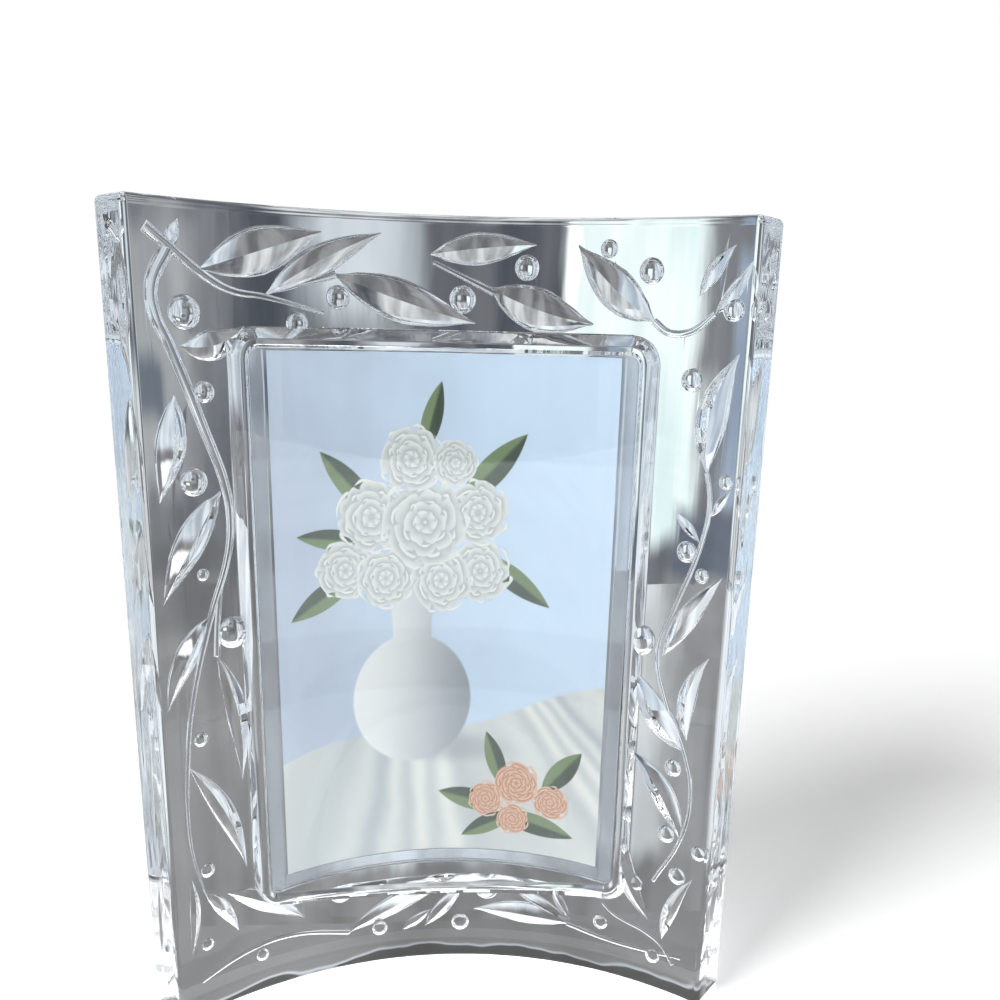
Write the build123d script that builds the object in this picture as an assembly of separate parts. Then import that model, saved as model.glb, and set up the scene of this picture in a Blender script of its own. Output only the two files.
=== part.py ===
"""Curved glass photo frame for a 4 x 6 inch photo.

The frame is one heavy slab of moulded glass, bent round an upright axis in front of it, so that it
stands on its own curved bottom edge. A vine of leaves, berries and stems is pressed into the back
of its border. A clear plastic sleeve is bonded into a shallow seat in the back, and the photo
slides up out of it.

Millimetres. Z is up, the hollow front face looks along -Y, and the origin is the middle of the
bottom of the frame's box.
"""

import os
from math import asin, cos, degrees, radians, sin

from build123d import *

# The photo, a standard print
PHOTO_WIDTH = 101.6
PHOTO_HEIGHT = 152.4
PHOTO_THICKNESS = 0.25
PHOTO_BASE = 30.0  # height of its lower edge above the table

# The glass slab
GLASS_HEIGHT = 217.0
GLASS_THICKNESS = 14.0
FRONT_RADIUS = 110.0  # of the hollow front face
FRONT_CHORD = 146.0  # straight across the front from edge to edge
EDGE_BEVEL = 1.0

# The seat for the sleeve in the back of the glass, and the channel that frames it
SEAT_DEPTH = 2.0
SEAT_MARGIN = 0.25  # of seat beyond the sleeve on each side
CHANNEL_DEPTH = 3.5
CHANNEL_FLOOR = 0.4
CHANNEL_INNER_SLOPE = 1.0  # how far the channel's inner flank leans across
CHANNEL_OUTER_SLOPE = 3.5  # how far its outer flank leans across
CHANNEL_CORNER_RADIUS = 6.0
CHANNEL_INNER_CORNER_RADIUS = 3.5

# The clear plastic sleeve
FRONT_SHEET_THICKNESS = 2.0
BACK_SHEET_THICKNESS = 1.2
STRIP_WIDTH = 4.0
PHOTO_SIDE_CLEARANCE = 0.75
PHOTO_FACE_CLEARANCE = 0.3
SLEEVE_HEADROOM = 0.5  # of sleeve above the photo's upper edge
SLEEVE_CORNER_RADIUS = 2.5
BOND_LINE = 0.05  # thickness of the clear adhesive between bonded pieces
FINGER_NOTCH_RADIUS = 11.0

# The pressed vine
LEAF_DEPTH = 3.8  # at the midrib of a wide leaf
LEAF_STEEPNESS = 0.82  # depth of a narrow leaf, as a share of half its width
LEAF_LIP = 0.5  # depth of the upright wall round a leaf
LARGEST_BERRY = 8.8  # across
BERRY_CAP_ANGLE = radians(62)  # between a berry's middle and its edge, seen from the centre of its ball
BERRY_RINGS = 3
BERRY_SIDES = 14
STEM_WIDTH = 2.2
STEM_DEPTH = 1.3
STEM_LIP = 0.4

# One overrun serves every cut that has to pass a face
OVERRUN = 1.0
QUARTER_TURN = 90

# Places on the back are shares, seen from the front: first along the curve, from -1 at the left
# edge to 1 at the right edge, then up, from 0 at the bottom to 1 at the top.

# Leaves: base along and up, tip along and up, width and sideways bow as shares of the length.
LEAF_SHARES = [
    (-0.740, 0.930, -0.380, 0.978, 0.31, 0.00),
    (-0.550, 0.905, -0.200, 0.980, 0.20, 0.03),
    (-0.340, 0.930, 0.090, 0.878, 0.25, -0.02),
    (-0.050, 0.958, 0.275, 0.972, 0.26, 0.01),
    (0.135, 0.920, 0.460, 0.880, 0.34, -0.04),
    (0.650, 0.885, 0.405, 0.972, 0.33, 0.04),
    (0.785, 0.915, 0.885, 0.972, 0.26, 0.05),
    (0.835, 0.895, 0.940, 0.955, 0.22, -0.05),
    (-0.810, 0.845, -0.620, 0.868, 0.40, -0.12),
    (-0.838, 0.790, -0.902, 0.668, 0.29, 0.03),
    (-0.715, 0.675, -0.914, 0.546, 0.24, -0.03),
    (-0.767, 0.523, -0.922, 0.412, 0.23, -0.06),
    (-0.755, 0.470, -0.695, 0.298, 0.16, 0.06),
    (-0.866, 0.330, -0.695, 0.172, 0.15, 0.06),
    (-0.844, 0.152, -0.735, 0.080, 0.22, 0.05),
    (-0.885, 0.176, -0.900, 0.070, 0.14, 0.04),
    (-0.766, 0.140, -0.502, 0.070, 0.22, 0.04),
    (0.848, 0.708, 0.920, 0.850, 0.26, 0.09),
    (0.840, 0.622, 0.750, 0.658, 0.24, 0.00),
    (0.870, 0.655, 0.928, 0.690, 0.26, 0.00),
    (0.745, 0.466, 0.923, 0.580, 0.20, 0.03),
    (0.848, 0.357, 0.902, 0.474, 0.20, 0.12),
    (0.843, 0.340, 0.650, 0.443, 0.29, 0.05),
    (0.852, 0.215, 0.655, 0.328, 0.24, -0.07),
    (0.762, 0.079, 0.642, 0.245, 0.17, 0.12),
    (0.812, 0.056, 0.907, 0.160, 0.18, 0.07),
    (0.461, 0.044, 0.115, 0.054, 0.22, -0.03),
    (0.461, 0.050, 0.241, 0.098, 0.18, 0.02),
    (0.470, 0.052, 0.395, 0.108, 0.22, 0.04),
    (-0.341, 0.032, 0.030, 0.098, 0.16, 0.03),
    (-0.065, 0.028, 0.080, 0.094, 0.22, 0.00),
    (-0.150, 0.024, -0.040, 0.054, 0.26, 0.00),
]

# A leaf's outline: a place along its length, and how much of its full width it has there.
LEAF_OUTLINE_SHARES = [
    (0.0, 0.07),
    (0.13, 0.52),
    (0.34, 0.95),
    (0.58, 0.93),
    (0.82, 0.48),
    (1.0, 0.05),
]

# Berries: along, up, and width as a share of the largest berry.
BERRY_SHARES = [
    (-0.794, 0.882, 0.93),
    (-0.334, 0.904, 0.68),
    (0.050, 0.906, 0.80),
    (0.247, 0.945, 0.73),
    (0.500, 0.968, 0.52),
    (0.633, 0.943, 0.73),
    (0.893, 0.900, 0.64),
    (-0.461, 0.871, 0.66),
    (-0.749, 0.793, 0.61),
    (-0.795, 0.689, 0.82),
    (-0.784, 0.576, 0.38),
    (-0.700, 0.498, 1.00),
    (-0.823, 0.365, 0.46),
    (-0.829, 0.183, 0.48),
    (-0.845, 0.076, 0.42),
    (-0.656, 0.030, 0.43),
    (-0.369, 0.099, 0.86),
    (-0.231, 0.030, 0.55),
    (0.064, 0.032, 0.64),
    (0.161, 0.089, 0.88),
    (0.583, 0.056, 0.53),
    (0.783, 0.025, 0.52),
    (0.699, 0.130, 0.62),
    (0.852, 0.159, 0.62),
    (0.920, 0.201, 0.50),
    (0.801, 0.216, 0.61),
    (0.809, 0.314, 0.59),
    (0.666, 0.483, 1.00),
    (0.857, 0.579, 0.46),
    (0.802, 0.607, 0.65),
    (0.911, 0.699, 0.44),
    (0.779, 0.818, 0.67),
]

# Stems: each is a run of places, along and up.
STEM_SHARES = [
    [(-0.894, 0.972), (-0.836, 0.955), (-0.722, 0.921), (-0.656, 0.908), (-0.554, 0.902), (-0.378, 0.885)],
    [(-0.800, 0.978), (-0.836, 0.955), (-0.884, 0.910), (-0.878, 0.878), (-0.848, 0.851), (-0.758, 0.753)],
    [(-0.758, 0.753), (-0.698, 0.677), (-0.690, 0.640), (-0.702, 0.599), (-0.767, 0.523), (-0.850, 0.402)],
    [(-0.850, 0.402), (-0.871, 0.337), (-0.882, 0.273), (-0.875, 0.212), (-0.842, 0.150)],
    [(-0.730, 0.562), (-0.748, 0.510), (-0.755, 0.470)],
    [(-0.448, 0.918), (-0.340, 0.930)],
    [(-0.043, 0.949), (0.081, 0.927), (0.147, 0.915)],
    [(0.649, 0.885), (0.700, 0.872), (0.770, 0.875), (0.835, 0.895)],
    [(0.848, 0.708), (0.864, 0.675), (0.849, 0.622), (0.776, 0.534), (0.728, 0.474), (0.764, 0.406)],
    [(0.764, 0.406), (0.843, 0.339), (0.876, 0.285), (0.858, 0.220), (0.767, 0.141)],
    [(0.588, 0.088), (0.633, 0.074), (0.759, 0.058), (0.812, 0.046), (0.860, 0.022)],
    [(0.461, 0.044), (0.600, 0.032), (0.738, 0.030), (0.887, 0.036)],
    [(-0.872, 0.024), (-0.694, 0.044), (-0.560, 0.048), (-0.341, 0.032)],
]

# Derived sizes
BACK_RADIUS = FRONT_RADIUS + GLASS_THICKNESS
HALF_ANGLE = asin(FRONT_CHORD / 2 / FRONT_RADIUS)
SEAT_RADIUS = BACK_RADIUS - SEAT_DEPTH
CHANNEL_RADIUS = BACK_RADIUS - CHANNEL_DEPTH

FRONT_SHEET_INNER = SEAT_RADIUS + BOND_LINE
FRONT_SHEET_OUTER = FRONT_SHEET_INNER + FRONT_SHEET_THICKNESS
PHOTO_INNER = FRONT_SHEET_OUTER + PHOTO_FACE_CLEARANCE
PHOTO_OUTER = PHOTO_INNER + PHOTO_THICKNESS
BACK_SHEET_INNER = PHOTO_OUTER + PHOTO_FACE_CLEARANCE
BACK_SHEET_OUTER = BACK_SHEET_INNER + BACK_SHEET_THICKNESS
STRIP_INNER = FRONT_SHEET_OUTER + BOND_LINE
STRIP_OUTER = BACK_SHEET_INNER - BOND_LINE

PHOTO_MIDDLE = (PHOTO_INNER + PHOTO_OUTER) / 2
PHOTO_HALF_ANGLE = PHOTO_WIDTH / 2 / PHOTO_MIDDLE
SLOT_HALF_ANGLE = PHOTO_HALF_ANGLE + PHOTO_SIDE_CLEARANCE / PHOTO_MIDDLE
SLEEVE_HALF_ANGLE = SLOT_HALF_ANGLE + STRIP_WIDTH / PHOTO_MIDDLE
PHOTO_TOP = PHOTO_BASE + PHOTO_HEIGHT
SLEEVE_BASE = PHOTO_BASE - STRIP_WIDTH
SLEEVE_TOP = PHOTO_TOP + SLEEVE_HEADROOM

# The upright axis that everything is bent round, set so that the box is centred on the origin. The
# box reaches forward to the bevelled front edges.
FRONT_REACH = FRONT_RADIUS * cos(HALF_ANGLE - EDGE_BEVEL / FRONT_RADIUS)
AXIS_Y = -(FRONT_REACH + BACK_SHEET_OUTER) / 2


def place(radius, angle, height=0):
    """The point at a distance from the axis, an angle from the middle and a height."""
    return Vector(radius * sin(angle), AXIS_Y + radius * cos(angle), height)


def arc_between(radius, first, last):
    """The arc about the axis from one angle to another, on the table."""
    return ThreePointArc(place(radius, first), place(radius, (first + last) / 2), place(radius, last))


def radial_plane(angle):
    """The upright plane through the axis at an angle, with its x direction away from the axis."""
    return Plane(origin=place(0, angle), x_dir=(sin(angle), cos(angle), 0), z_dir=(cos(angle), -sin(angle), 0))


def curved_block(inner, outer, first, last, base, top):
    """A block between two radii, two angles and two heights."""
    outline = [
        arc_between(inner, first, last),
        Line(place(inner, last), place(outer, last)),
        arc_between(outer, last, first),
        Line(place(outer, first), place(inner, first)),
    ]
    return Pos(0, 0, base) * extrude(make_face(outline), amount=top - base, dir=(0, 0, 1))


def distance_from_axis(point):
    """How far a point lies from the axis."""
    return (point - Vector(0, AXIS_Y, point.Z)).length


def edges_through(solid, least_depth):
    """The edges of a solid that run through its thickness."""
    return [
        edge
        for edge in solid.edges()
        if abs(distance_from_axis(edge @ 0) - distance_from_axis(edge @ 1)) > least_depth
    ]


def leaning_block(floor, rim, half_width, base, top, slope, corner_radius):
    """A block between two radii whose four sides lean and whose corners are rounded.

    half_width, base, top and corner_radius are those at the floor, and slope says how far the sides
    move out for each millimetre that they run away from the axis.
    """
    low, high = floor - OVERRUN, rim + OVERRUN
    shift_low, shift_high = slope * (low - floor), slope * (high - floor)
    corner_angle = (half_width - corner_radius) / floor
    turn = Axis(place(0, 0), (0, 0, 1))

    def middle_outline():
        corners = [
            (low, base - shift_low),
            (high, base - shift_high),
            (high, top + shift_high),
            (low, top + shift_low),
        ]
        return radial_plane(corner_angle) * make_face(Polyline(*corners, close=True))

    block = revolve(middle_outline(), axis=turn, revolution_arc=degrees(2 * corner_angle))
    for side in (-1, 1):
        angle = side * corner_angle
        outward, sideways = radial_plane(angle).x_dir, radial_plane(angle).z_dir * side

        def flank_outline(height):
            corners = [(0, low), (corner_radius + shift_low, low), (corner_radius + shift_high, high), (0, high)]
            centre = place(0, angle, height)
            return make_face(
                Polyline(*[centre + sideways * across + outward * radius for across, radius in corners], close=True)
            )

        lower, upper = base + corner_radius, top - corner_radius
        block += extrude(flank_outline(lower), amount=upper - lower, dir=(0, 0, 1))
        for height, quarter in ((lower, side * QUARTER_TURN), (upper, -side * QUARTER_TURN)):
            spindle = Axis(place(0, angle, height), outward)
            block += revolve(flank_outline(height), axis=spindle, revolution_arc=quarter)
    return block & curved_block(floor, rim, -HALF_ANGLE, HALF_ANGLE, 0, GLASS_HEIGHT)


def seat_cut():
    """What the seat and its channel take out of the back of the glass."""
    half_width = SLEEVE_HALF_ANGLE * SEAT_RADIUS + SEAT_MARGIN
    flank = CHANNEL_INNER_SLOPE
    island_height = CHANNEL_DEPTH - SEAT_DEPTH
    island = leaning_block(
        CHANNEL_RADIUS,
        SEAT_RADIUS,
        half_width + flank,
        SLEEVE_BASE - SEAT_MARGIN - flank,
        SLEEVE_TOP + SEAT_MARGIN + flank,
        -flank / island_height,
        CHANNEL_INNER_CORNER_RADIUS,
    )
    slope = CHANNEL_OUTER_SLOPE / CHANNEL_DEPTH
    rim = flank + CHANNEL_FLOOR
    pocket = leaning_block(
        CHANNEL_RADIUS,
        BACK_RADIUS + OVERRUN,
        half_width + rim,
        SLEEVE_BASE - SEAT_MARGIN - rim,
        SLEEVE_TOP + SEAT_MARGIN + rim,
        slope,
        CHANNEL_CORNER_RADIUS,
    )
    return pocket - island


def back_place(share_along, share_up):
    """A place on the back, as the length along the curve and the height."""
    return Vector(share_along * HALF_ANGLE * BACK_RADIUS, share_up * GLASS_HEIGHT)


def groove_section(middle, across, half_width, lip, depth):
    """The outline that a groove has at one place.

    middle is a place on the back, and across the direction there, square to the groove. The
    groove has upright walls as deep as its lip, and slopes from them to its depth in the middle.
    """
    angle = middle.X / BACK_RADIUS
    outward = Vector(sin(angle), cos(angle), 0)
    sideways = Vector(cos(angle), -sin(angle), 0) * across.X + Vector(0, 0, 1) * across.Y
    origin = place(BACK_RADIUS, angle, middle.Y)
    corners = [(-1, OVERRUN), (-1, -lip), (0, -depth), (1, -lip), (1, OVERRUN)]
    return Wire.make_polygon([origin + sideways * (side * half_width) + outward * rise for side, rise in corners])


def leaf(base_along, base_up, tip_along, tip_up, width_share, bow_share):
    """A leaf pressed into the back, with a ridge for its midrib."""
    base, tip = back_place(base_along, base_up), back_place(tip_along, tip_up)
    length = (tip - base).length
    along = (tip - base).normalized()
    across = Vector(-along.Y, along.X)
    half_width = width_share * length / 2
    full_depth = min(LEAF_DEPTH, LEAF_STEEPNESS * half_width)
    sections = []
    for share, fullness in LEAF_OUTLINE_SHARES:
        bow = 4 * share * (1 - share) * bow_share * length
        depth = LEAF_LIP + (full_depth - LEAF_LIP) * fullness
        middle = base + along * (share * length) + across * bow
        sections.append(groove_section(middle, across, fullness * half_width, LEAF_LIP, depth))
    return Solid.make_loft(sections, ruled=True)


def stem(shares):
    """A stem pressed into the back along a run of places."""
    places = [back_place(*share) for share in shares]
    sections = []
    for i, middle in enumerate(places):
        before, after = places[max(i - 1, 0)], places[min(i + 1, len(places) - 1)]
        along = (after - before).normalized()
        sections.append(groove_section(middle, Vector(-along.Y, along.X), STEM_WIDTH / 2, STEM_LIP, STEM_DEPTH))
    return Solid.make_loft(sections, ruled=True)


def berry(share_along, share_up, width_share):
    """A berry pressed into the back as a faceted dome, cut from the cap of a ball."""
    middle = back_place(share_along, share_up)
    angle = middle.X / BACK_RADIUS
    spot = Plane(origin=place(BACK_RADIUS, angle, middle.Y), x_dir=(0, 0, 1), z_dir=radial_plane(angle).x_dir)
    radius = width_share * LARGEST_BERRY / 2
    ball_radius = radius / sin(BERRY_CAP_ANGLE)
    rings = [Pos(0, 0, OVERRUN) * RegularPolygon(radius, BERRY_SIDES)]
    for ring in range(BERRY_RINGS):
        tilt = BERRY_CAP_ANGLE * (1 - ring / BERRY_RINGS)
        depth = ball_radius * (cos(tilt) - cos(BERRY_CAP_ANGLE))
        rings.append(Pos(0, 0, -depth) * RegularPolygon(ball_radius * sin(tilt), BERRY_SIDES))
    return spot * loft(rings, ruled=True)


def glass_body():
    """The moulded glass slab with its seat and its vine."""
    slab = curved_block(FRONT_RADIUS, BACK_RADIUS, -HALF_ANGLE, HALF_ANGLE, 0, GLASS_HEIGHT)
    slab = chamfer(slab.edges(), EDGE_BEVEL)
    vine = [leaf(*shares) for shares in LEAF_SHARES]
    vine += [stem(shares) for shares in STEM_SHARES]
    vine += [berry(*shares) for shares in BERRY_SHARES]
    return slab - seat_cut() - vine


def sleeve_sheet(inner, outer):
    """A curved sheet with the sleeve's outline and rounded corners."""
    sheet = curved_block(inner, outer, -SLEEVE_HALF_ANGLE, SLEEVE_HALF_ANGLE, SLEEVE_BASE, SLEEVE_TOP)
    return fillet(edges_through(sheet, (outer - inner) / 2), SLEEVE_CORNER_RADIUS)


def sleeve_back_sheet():
    """The sleeve's back sheet, with a half-round notch for a fingertip."""
    sheet = sleeve_sheet(BACK_SHEET_INNER, BACK_SHEET_OUTER)
    reach = Cylinder(FINGER_NOTCH_RADIUS, BACK_RADIUS, rotation=(90, 0, 0))
    return sheet - Pos(place(BACK_RADIUS, 0, SLEEVE_TOP)) * reach


def side_strip(side):
    """The spacer strip down one side of the sleeve, with its outer corners rounded as the sheets are."""
    first, last = sorted((side * (SLOT_HALF_ANGLE + BOND_LINE / PHOTO_MIDDLE), side * SLEEVE_HALF_ANGLE))
    strip = curved_block(STRIP_INNER, STRIP_OUTER, first, last, SLEEVE_BASE, SLEEVE_TOP)
    outer_corners = [
        edge
        for edge in edges_through(strip, (STRIP_OUTER - STRIP_INNER) / 2)
        if abs((edge @ 0).X) > place(STRIP_INNER, (SLOT_HALF_ANGLE + SLEEVE_HALF_ANGLE) / 2).X
    ]
    return fillet(outer_corners, SLEEVE_CORNER_RADIUS)


def bottom_strip():
    """The spacer strip that the photo stands on."""
    return curved_block(STRIP_INNER, STRIP_OUTER, -SLOT_HALF_ANGLE, SLOT_HALF_ANGLE, SLEEVE_BASE, PHOTO_BASE)


def photo_print():
    """The photo, bent to the curve of the sleeve."""
    return curved_block(PHOTO_INNER, PHOTO_OUTER, -PHOTO_HALF_ANGLE, PHOTO_HALF_ANGLE, PHOTO_BASE, PHOTO_TOP)


os.makedirs("parts", exist_ok=True)
pieces = {
    "glass_body": glass_body(),
    "sleeve_front_sheet": sleeve_sheet(FRONT_SHEET_INNER, FRONT_SHEET_OUTER),
    "sleeve_back_sheet": sleeve_back_sheet(),
    "sleeve_left_strip": side_strip(-1),
    "sleeve_right_strip": side_strip(1),
    "sleeve_bottom_strip": bottom_strip(),
    "photo_print": photo_print(),
}
for name, piece in pieces.items():
    export_step(piece, f"parts/{name}.step")
    print(name, "volume", round(piece.volume, 1))
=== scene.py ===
"""The looks of a curved glass photo frame: its moulded glass, its clear sleeve and its print.

Metres. Z is up and the hollow front face looks along -Y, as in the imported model. Each curved piece
is modelled flat, lying on its back: X runs along the curve, Y is the height and Z points to the
front, with zero at the back of the glass. It is then stood up and bent to the curve of the frame.
"""

import logging
from collections.abc import Callable
from dataclasses import dataclass
from enum import Enum
from math import asin, ceil, cos, pi, radians, sin

import bpy
from mathutils import Matrix, Vector


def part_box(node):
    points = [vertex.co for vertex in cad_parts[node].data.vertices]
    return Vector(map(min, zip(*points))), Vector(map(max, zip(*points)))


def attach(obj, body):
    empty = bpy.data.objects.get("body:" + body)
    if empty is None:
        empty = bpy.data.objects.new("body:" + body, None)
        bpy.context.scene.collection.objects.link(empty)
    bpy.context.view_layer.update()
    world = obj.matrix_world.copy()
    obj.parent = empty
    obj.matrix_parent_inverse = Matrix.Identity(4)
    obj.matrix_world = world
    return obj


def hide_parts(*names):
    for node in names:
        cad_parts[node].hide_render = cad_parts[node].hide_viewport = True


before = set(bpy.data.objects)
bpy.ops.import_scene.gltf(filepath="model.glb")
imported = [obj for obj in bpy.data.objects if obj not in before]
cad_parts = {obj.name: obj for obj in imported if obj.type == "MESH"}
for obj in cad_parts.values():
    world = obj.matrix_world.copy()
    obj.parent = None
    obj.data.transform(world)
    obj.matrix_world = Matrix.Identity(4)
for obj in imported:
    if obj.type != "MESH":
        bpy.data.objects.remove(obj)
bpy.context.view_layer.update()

log = logging.getLogger("photo_frame")

MM = 0.001
CORNER_SEGMENTS = 10
MERGE_REACH = 0.002 * MM
LEVEL_REACH = 0.001 * MM
SQUARE_EDGE = radians(60)
LARGE_FACE_WEIGHT = 80

# The place that the camera looks from.
EYE = Vector((-0.006681, -0.262100, 0.190747))

# The middle of the rings on the foot card, from where the angles of the end streaks are told too.
# It lies 2.1 mm behind the upright axis of the curve.
RING_Y = -0.1024

# A face looks to the front of a flat piece where its normal's z is over this.
TO_FRONT = 0.5

Colour = tuple[float, float, float]
Place = tuple[float, float]
Corners = tuple[tuple[float, float, float], ...]
Values = dict[str | int, object]


def as_rgba(colour: Colour) -> tuple[float, float, float, float]:
    """A colour with full opacity, as sockets want it."""
    return (*colour, 1.0)


# Modelling tools


def select_only(*pieces: bpy.types.Object) -> None:
    """Selects some objects and nothing else, and makes the first of them active.

    Args:
        pieces: The objects to select.
    """
    if bpy.context.object and bpy.context.object.mode != "OBJECT":
        bpy.ops.object.mode_set(mode="OBJECT")
    bpy.ops.object.select_all(action="DESELECT")
    for piece in pieces:
        piece.select_set(True)
    bpy.context.view_layer.objects.active = pieces[0]


def name_piece(name: str) -> bpy.types.Object:
    """Names the active object and its mesh.

    Args:
        name: The piece's name.

    Returns:
        The active object.
    """
    piece = bpy.context.object
    piece.name = piece.data.name = name
    return piece


def apply_place(piece: bpy.types.Object) -> None:
    """Moves an object's place, turn and scale into its mesh."""
    select_only(piece)
    bpy.ops.object.transform_apply(location=True, rotation=True, scale=True)


def finish_with(piece: bpy.types.Object, kind: str, **settings: object) -> None:
    """Adds one modifier to a piece and applies it.

    Args:
        piece: The piece to change.
        kind: The modifier's type.
        settings: The modifier's settings.
    """
    select_only(piece)
    bpy.ops.object.modifier_add(type=kind)
    modifier = piece.modifiers[-1]
    for setting, value in settings.items():
        setattr(modifier, setting, value)
    bpy.ops.object.modifier_apply(modifier=modifier.name)


def merge_and_turn_out(piece: bpy.types.Object) -> None:
    """Merges a piece's doubled points and turns its faces outwards.

    Args:
        piece: The piece.
    """
    select_only(piece)
    bpy.ops.object.mode_set(mode="EDIT")
    bpy.ops.mesh.select_all(action="SELECT")
    bpy.ops.mesh.remove_doubles(threshold=MERGE_REACH)
    bpy.ops.mesh.normals_make_consistent(inside=False)
    bpy.ops.object.mode_set(mode="OBJECT")


def cut_away(piece: bpy.types.Object, cutters: list[bpy.types.Object]) -> None:
    """Cuts a group of closed shapes out of a piece and deletes them.

    Args:
        piece: The piece to cut.
        cutters: The shapes to take out of it.
    """
    group = bpy.data.collections.new("cutters")
    for cutter in cutters:
        group.objects.link(cutter)
    finish_with(
        piece,
        "BOOLEAN",
        operation="DIFFERENCE",
        solver="MANIFOLD",
        operand_type="COLLECTION",
        collection=group,
    )
    for cutter in cutters:
        bpy.data.meshes.remove(cutter.data)
    bpy.data.collections.remove(group)


def round_edges(piece: bpy.types.Object, radius: float, segments: int) -> None:
    """Rounds all the square edges of a piece.

    Args:
        piece: The piece.
        radius: How far the rounding reaches from each edge.
        segments: How many steps the rounding has.
    """
    limits = {"limit_method": "ANGLE", "angle_limit": SQUARE_EDGE}
    finish_with(piece, "BEVEL", width=radius, segments=segments, **limits)


def slice_upright(piece: bpy.types.Object, step: float) -> None:
    """Cuts a flat piece's faces into upright strips, so that it can be bent smoothly.

    Args:
        piece: The flat piece.
        step: The width of a strip.
    """
    reach = max(abs(vertex.co.x) for vertex in piece.data.vertices)
    count = ceil(reach / step)
    select_only(piece)
    bpy.ops.object.mode_set(mode="EDIT")
    for strip in range(-count + 1, count):
        bpy.ops.mesh.select_all(action="SELECT")
        bpy.ops.mesh.bisect(plane_co=(strip * reach / count, 0, 0), plane_no=(1, 0, 0))
    bpy.ops.object.mode_set(mode="OBJECT")


def flat_box(name: str, lowest: tuple[float, ...], highest: tuple[float, ...]) -> bpy.types.Object:
    """A flat box between two corners.

    Args:
        name: The box's name.
        lowest: Its lowest corner.
        highest: Its highest corner.

    Returns:
        The box.
    """
    low, high = Vector(lowest), Vector(highest)
    bpy.ops.object.select_all(action="DESELECT")
    bpy.ops.mesh.primitive_cube_add(size=1, location=(low + high) / 2)
    box = name_piece(name)
    box.scale = high - low
    apply_place(box)
    return box


def edit_where(piece: bpy.types.Object, kind: str, test: Callable[[object], bool]) -> None:
    """Enters edit mode with those parts of a piece selected that pass a test.

    Args:
        piece: The piece to edit.
        kind: EDGE or FACE.
        test: Says whether a part is selected.
    """
    select_only(piece)
    bpy.ops.object.mode_set(mode="EDIT")
    bpy.ops.mesh.select_mode(type=kind)
    bpy.ops.mesh.select_all(action="DESELECT")
    bpy.ops.object.mode_set(mode="OBJECT")
    parts = {"EDGE": piece.data.edges, "FACE": piece.data.polygons}[kind]
    for part in parts:
        part.select = test(part)
    bpy.ops.object.mode_set(mode="EDIT")


def round_corners(piece: bpy.types.Object, radius: float, sides: tuple[int, ...] = (-1, 1)) -> None:
    """Rounds the edges of a flat box that run through its thickness.

    Args:
        piece: The flat box.
        radius: The corners' radius.
        sides: Which sides get it: -1 for the left and 1 for the right.
    """
    middle = sum(vertex.co.x for vertex in piece.data.vertices) / len(piece.data.vertices)

    def is_corner(edge: bpy.types.MeshEdge) -> bool:
        """Whether an edge runs through the thickness on one of the sides.

        Args:
            edge: The edge.

        Returns:
            Whether it is to be rounded.
        """
        first, second = (piece.data.vertices[index].co for index in edge.vertices)
        side = 1 if first.x > middle else -1
        return (first - second).xy.length < LEVEL_REACH and side in sides

    edit_where(piece, "EDGE", is_corner)
    bpy.ops.mesh.bevel(offset=radius, segments=CORNER_SEGMENTS, affect="EDGES")
    bpy.ops.object.mode_set(mode="OBJECT")


@dataclass(frozen=True)
class Curve:
    """The upright cylinder that the whole frame follows, named after the back of the glass.

    Attributes:
        radius: The radius of the back of the glass.
        axis_y: Where the upright axis stands.
    """

    radius: float
    axis_y: float

    def bend(self, piece: bpy.types.Object) -> None:
        """Stands a flat piece up and bends it to the curve.

        Args:
            piece: A piece modelled flat.
        """
        piece.rotation_euler = (pi / 2, 0, 0)
        apply_place(piece)
        along = [vertex.co.x for vertex in piece.data.vertices]
        angle = -(max(along) - min(along)) / self.radius
        finish_with(piece, "SIMPLE_DEFORM", deform_method="BEND", deform_axis="Z", angle=angle)
        piece.location = (0, self.axis_y + self.radius, 0)
        apply_place(piece)

    def smooth(self, piece: bpy.types.Object, sharp: float = radians(32)) -> None:
        """Shades a bent piece smooth, with its edges kept and its large faces leading.

        Args:
            piece: The bent piece.
            sharp: The angle past which an edge stays sharp.
        """
        select_only(piece)
        bpy.ops.object.shade_smooth_by_angle(angle=sharp)
        finish_with(piece, "WEIGHTED_NORMAL", keep_sharp=True, weight=LARGE_FACE_WEIGHT)


# The pressed vine


@dataclass(frozen=True)
class Back:
    """The back of the glass, where the vine's places are shares of its size.

    Attributes:
        half_length: Half its length along the curve.
        height: Its height.
    """

    half_length: float
    height: float

    def at(self, along: float, up: float) -> Vector:
        """The flat place of a share along the curve, from -1 to 1, and a share of the height."""
        return Vector((along * self.half_length, up * self.height, 0))


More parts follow.
